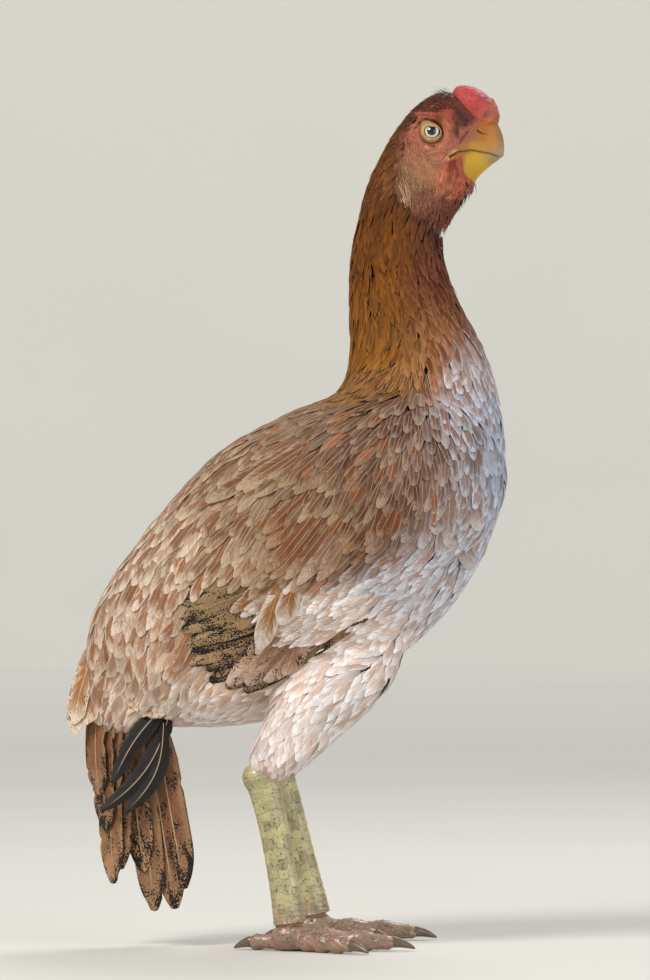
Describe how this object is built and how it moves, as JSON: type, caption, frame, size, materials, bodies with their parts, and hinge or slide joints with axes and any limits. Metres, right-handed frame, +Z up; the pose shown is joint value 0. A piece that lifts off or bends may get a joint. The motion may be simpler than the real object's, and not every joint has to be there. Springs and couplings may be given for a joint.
{
  "type": "aseel hen",
  "caption": "Life-size standing hen of an aseel game fowl, head up on a long neck, wings folded, tail drooping.",
  "frame": {"origin": "on the floor under the middle of the bounding box", "axes": "+X the way the hen faces, +Y her left, +Z up"},
  "size_m": [0.2572, 0.1654, 0.4985],
  "materials": {
    "plumage_buff": "soft feathers, buff with pale edges",
    "plumage_fluff": "downy, pinkish cream",
    "hackle_gold": "narrow feathers, golden brown",
    "tail_buff": "firm feathers, tan with dark ends",
    "face_red": "bare, finely wrinkled skin",
    "comb_red": "smooth fleshy skin",
    "bill_yellow": "satin horn",
    "eye_pearl": "wet, glossy",
    "leg_yellow": "horny scales, satin",
    "claw_horn": "satin horn"
  },
  "bodies": {
    "root": {"torso": "plumage_buff", "wing_right": "plumage_buff", "wing_left": "plumage_buff", "neck": "hackle_gold", "head": "face_red", "comb": "comb_red", "beak_upper": "bill_yellow", "beak_lower": "bill_yellow", "eye_right": "eye_pearl", "eye_left": "eye_pearl", "tail": "tail_buff", "thigh_right": "plumage_fluff", "thigh_left": "plumage_fluff", "shank_right": "leg_yellow", "shank_left": "leg_yellow", "foot_right": "leg_yellow", "foot_left": "leg_yellow", "claw_right_middle": "claw_horn", "claw_right_inner": "claw_horn", "claw_right_outer": "claw_horn", "claw_right_hind": "claw_horn", "claw_left_middle": "claw_horn", "claw_left_inner": "claw_horn", "claw_left_outer": "claw_horn", "claw_left_hind": "claw_horn"}
  },
  "joints": []
}
